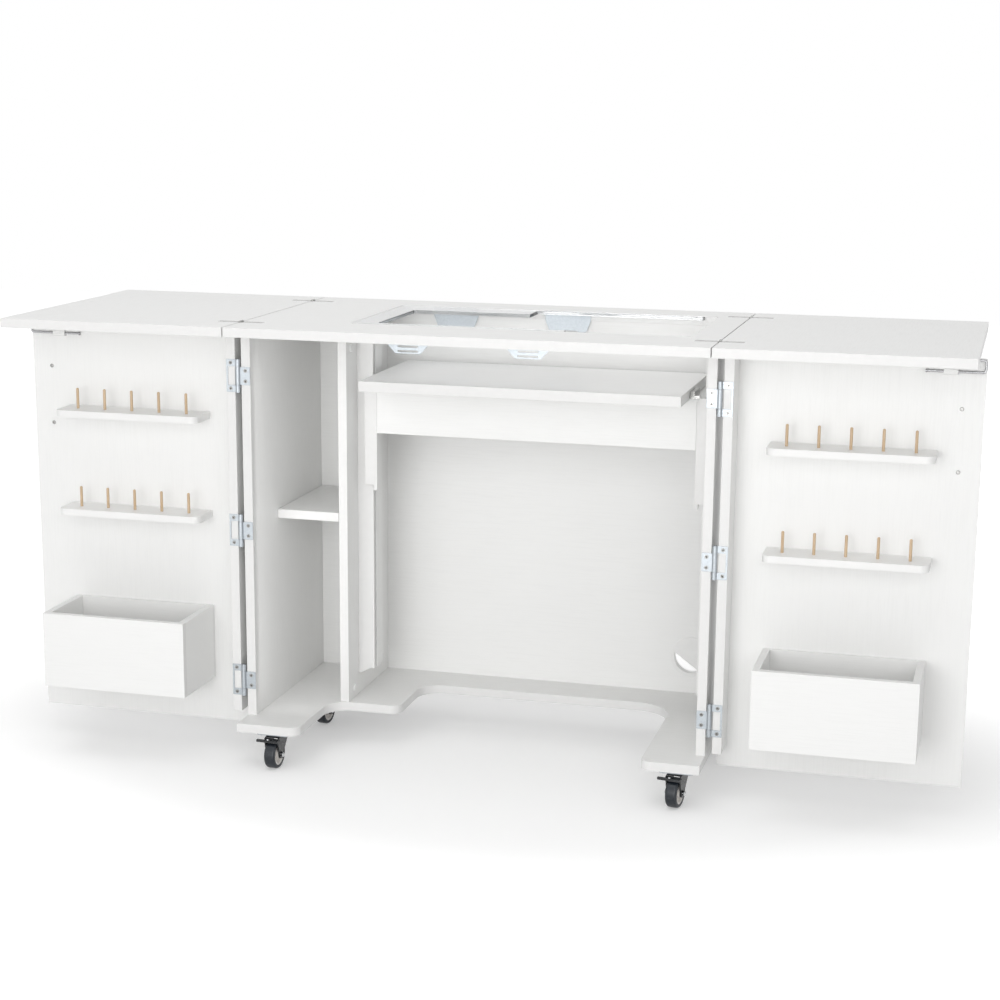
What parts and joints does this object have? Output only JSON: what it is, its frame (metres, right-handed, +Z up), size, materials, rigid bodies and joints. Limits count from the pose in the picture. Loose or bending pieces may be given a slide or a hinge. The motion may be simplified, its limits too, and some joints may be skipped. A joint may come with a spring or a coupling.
{
  "type": "sewing cabinet",
  "caption": "White sewing cabinet on casters, open for use: folding leaves, storage doors with thread pegs and bins, clear insert and a machine lift.",
  "frame": {"origin": "on the floor, under the middle of the open table top's outline", "axes": "+Z up, +X to the sitter's right, -Y towards the sitter"},
  "size_m": [1.654, 0.515, 0.7776],
  "materials": {
    "white_board": "white melamine board with matching edge band, satin",
    "back_board": "white melamine board with a fine embossed grain",
    "white_plastic": "moulded white plastic, satin",
    "zinc_hardware": "bright zinc plated steel",
    "black_steel": "black painted steel",
    "clear_acrylic": "clear acrylic sheet with polished edges",
    "cream_plastic": "cream wheel centre",
    "grey_tread": "soft dark tread",
    "peg_wood": "natural birch dowel"
  },
  "bodies": {
    "carcass": {"base_panel": "white_board", "left_side_panel": "white_board", "right_side_panel": "white_board", "divider_panel": "white_board", "back_panel": "back_board", "book_shelf": "white_board", "shelf_pins": "zinc_hardware", "centre_top": "white_board", "left_lift_rail": "white_board", "right_lift_rail": "white_board", "insert_brackets": "zinc_hardware", "cable_grommet": "white_plastic", "cover_caps": "white_plastic", "leaf_hinge_fixed_wings": "zinc_hardware", "door_hinge_fixed_wings": "zinc_hardware", "gas_strut_cylinder": "black_steel", "caster_plates": "zinc_hardware"},
    "left_leaf": {"left_leaf_panel": "white_board", "left_leaf_hinge_wings": "zinc_hardware"},
    "right_leaf": {"right_leaf_panel": "white_board", "right_leaf_hinge_wings": "zinc_hardware"},
    "left_door": {"left_door_panel": "white_board", "left_hinge_strip": "white_board", "left_hinge_frames": "zinc_hardware", "left_thread_shelves": "white_board", "left_thread_pegs": "peg_wood", "left_bin": "white_board", "left_door_handle": "zinc_hardware", "left_wire_clip": "white_plastic"},
    "right_door": {"right_door_panel": "white_board", "right_hinge_strip": "white_board", "right_hinge_frames": "zinc_hardware", "right_thread_shelves": "white_board", "right_thread_pegs": "peg_wood", "right_bin": "white_board", "right_door_handle": "zinc_hardware", "right_wire_clip": "white_plastic"},
    "lift": {"lift_platform": "white_board", "lift_apron": "white_board", "left_lift_bracket": "white_board", "right_lift_bracket": "white_board", "gas_strut_rod": "zinc_hardware", "lift_latch": "zinc_hardware"},
    "left_wire_lock": {"left_wire_lock": "zinc_hardware"},
    "right_wire_lock": {"right_wire_lock": "zinc_hardware"},
    "insert": {"acrylic_insert": "clear_acrylic"},
    "front_left_swivel": {"front_left_fork": "black_steel"},
    "front_left_wheel": {"front_left_hub": "cream_plastic", "front_left_tyre": "grey_tread"},
    "front_left_pedal": {"front_left_brake_pedal": "black_steel"},
    "front_right_swivel": {"front_right_fork": "black_steel"},
    "front_right_wheel": {"front_right_hub": "cream_plastic", "front_right_tyre": "grey_tread"},
    "front_right_pedal": {"front_right_brake_pedal": "black_steel"},
    "rear_left_swivel": {"rear_left_fork": "black_steel"},
    "rear_left_wheel": {"rear_left_hub": "cream_plastic", "rear_left_tyre": "grey_tread"},
    "rear_right_swivel": {"rear_right_fork": "black_steel"},
    "rear_right_wheel": {"rear_right_hub": "cream_plastic", "rear_right_tyre": "grey_tread"}
  },
  "joints": [
    {"name": "left_leaf_fold", "type": "hinge", "parent": "carcass", "child": "left_leaf", "pos_m": [-0.409, 0, 0.7754], "axis": [0, 1, 0], "range_deg": [0, 180]},
    {"name": "right_leaf_fold", "type": "hinge", "parent": "carcass", "child": "right_leaf", "pos_m": [0.409, 0, 0.7754], "axis": [0, -1, 0], "range_deg": [0, 180]},
    {"name": "left_door_swing", "type": "hinge", "parent": "carcass", "child": "left_door", "pos_m": [-0.4137, -0.1775, 0.414], "axis": [0, 0, 1], "range_deg": [0, 180]},
    {"name": "right_door_swing", "type": "hinge", "parent": "carcass", "child": "right_door", "pos_m": [0.4137, -0.1775, 0.414], "axis": [0, 0, -1], "range_deg": [0, 180]},
    {"name": "lift_travel", "type": "slide", "parent": "carcass", "child": "lift", "axis": [0, 0, 1], "range_m": [-0.23, 0.074]},
    {"name": "left_wire_turn", "type": "hinge", "parent": "left_door", "child": "left_wire_lock", "pos_m": [-0.78, -0.125, 0.737], "axis": [1, 0, 0], "range_deg": [0, 180]},
    {"name": "right_wire_turn", "type": "hinge", "parent": "right_door", "child": "right_wire_lock", "pos_m": [0.78, -0.125, 0.737], "axis": [1, 0, 0], "range_deg": [0, 180]},
    {"name": "insert_lift_out", "type": "slide", "parent": "carcass", "child": "insert", "axis": [0, 0, -1], "range_m": [-0.03, 0]},
    {"name": "front_left_swivel_turn", "type": "hinge", "parent": "carcass", "child": "front_left_swivel", "pos_m": [-0.344, -0.2015, 0.058], "axis": [0, 0, 1], "continuous": true},
    {"name": "front_left_wheel_roll", "type": "hinge", "parent": "front_left_swivel", "child": "front_left_wheel", "pos_m": [-0.34484, -0.21347, 0.025], "axis": [0.9976, -0.0698, 0], "continuous": true},
    {"name": "front_left_brake_press", "type": "hinge", "parent": "front_left_swivel", "child": "front_left_pedal", "pos_m": [-0.3454, -0.22145, 0.0525], "axis": [0.9976, -0.0698, 0], "range_deg": [0, 12]},
    {"name": "front_right_swivel_turn", "type": "hinge", "parent": "carcass", "child": "front_right_swivel", "pos_m": [0.368, -0.2015, 0.058], "axis": [0, 0, 1], "continuous": true},
    {"name": "front_right_wheel_roll", "type": "hinge", "parent": "front_right_swivel", "child": "front_right_wheel", "pos_m": [0.36592, -0.21332, 0.025], "axis": [0.9848, -0.1736, 0], "continuous": true},
    {"name": "front_right_brake_press", "type": "hinge", "parent": "front_right_swivel", "child": "front_right_pedal", "pos_m": [0.36453, -0.2212, 0.0525], "axis": [0.9848, -0.1736, 0], "range_deg": [0, 12]},
    {"name": "rear_left_swivel_turn", "type": "hinge", "parent": "carcass", "child": "rear_left_swivel", "pos_m": [-0.344, 0.063, 0.058], "axis": [0, 0, 1], "continuous": true},
    {"name": "rear_left_wheel_roll", "type": "hinge", "parent": "rear_left_swivel", "child": "rear_left_wheel", "pos_m": [-0.34567, 0.05112, 0.025], "axis": [0.9903, -0.1392, 0], "continuous": true},
    {"name": "rear_right_swivel_turn", "type": "hinge", "parent": "carcass", "child": "rear_right_swivel", "pos_m": [0.368, 0.063, 0.058], "axis": [0, 0, 1], "continuous": true},
    {"name": "rear_right_wheel_roll", "type": "hinge", "parent": "rear_right_swivel", "child": "rear_right_wheel", "pos_m": [0.36675, 0.05107, 0.025], "axis": [0.9945, -0.1045, 0], "continuous": true}
  ]
}
